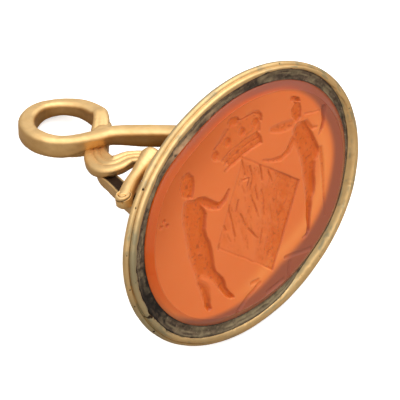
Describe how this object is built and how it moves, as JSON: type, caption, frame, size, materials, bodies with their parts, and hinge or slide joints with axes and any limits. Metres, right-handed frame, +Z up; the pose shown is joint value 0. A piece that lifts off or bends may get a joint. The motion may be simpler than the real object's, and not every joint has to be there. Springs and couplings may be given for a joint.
{
  "type": "carnelian fob seal in a gold mount",
  "caption": "Oval fob seal: an engraved orange stone in a gold bezel with a tapering back, an openwork scroll handle and a fixed ring; it lies on its rim and ring.",
  "frame": {"origin": "on the surface the seal lies on, under the middle of its bounding box", "axes": "+Z up from the surface it lies on, +X along the long axis of the oval, +Y from the face towards the ring; the engraved face looks towards -Y and up"},
  "size_m": [0.028, 0.029, 0.0223],
  "materials": {
    "gold": "old polished gold, worn and scratched, with grime in the seams",
    "carnelian": "polished translucent orange stone, frosted where it is engraved",
    "bedding": "rough dark bedding compound"
  },
  "bodies": {
    "root": {"gold_mount": "gold", "carnelian": "carnelian", "stone_bedding": "bedding"}
  },
  "joints": []
}
